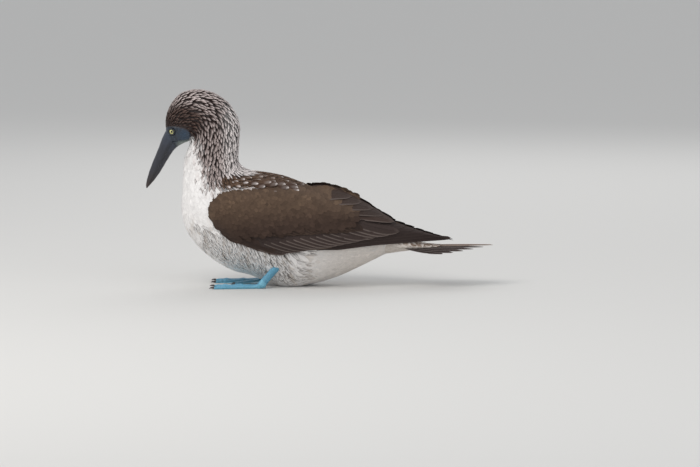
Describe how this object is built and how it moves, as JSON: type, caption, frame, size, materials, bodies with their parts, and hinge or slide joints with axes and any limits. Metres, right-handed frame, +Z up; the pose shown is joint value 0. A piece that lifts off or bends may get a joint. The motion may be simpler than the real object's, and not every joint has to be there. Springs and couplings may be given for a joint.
{
  "type": "blue footed booby",
  "caption": "Life-size seabird resting on its belly, head bowed, long pointed bill, folded wings, pointed tail and broad webbed feet drawn forward.",
  "frame": {"origin": "middle of the flat under the belly, on the floor", "axes": "+Z up, -X the way the bird faces, -Y its left side"},
  "size_m": [0.5893, 0.1648, 0.3325],
  "materials": {
    "plumage_white": "soft matt feathers, white with grey streaks",
    "plumage_streaked": "soft matt feathers, dark brown with pale edges",
    "plumage_brown": "firm chocolate brown feathers with paler edges",
    "plumage_tail": "firm grey-brown feathers with pale shafts",
    "bill": "satin horn, slate grey",
    "eye": "wet, pale yellow iris with a dark pupil",
    "foot_skin": "bright blue scaly skin",
    "claw": "smooth grey horn"
  },
  "bodies": {
    "root": {"torso": "plumage_white", "neck": "plumage_streaked", "head": "plumage_streaked", "wing_left": "plumage_brown", "wing_right": "plumage_brown", "tail": "plumage_tail", "bill_upper": "bill", "bill_lower": "bill", "eye_left": "eye", "eye_right": "eye", "leg_left": "foot_skin", "leg_right": "foot_skin", "foot_left": "foot_skin", "foot_right": "foot_skin", "claw_1_left": "claw", "claw_1_right": "claw", "claw_2_left": "claw", "claw_2_right": "claw", "claw_3_left": "claw", "claw_3_right": "claw", "claw_4_left": "claw", "claw_4_right": "claw"}
  },
  "joints": []
}
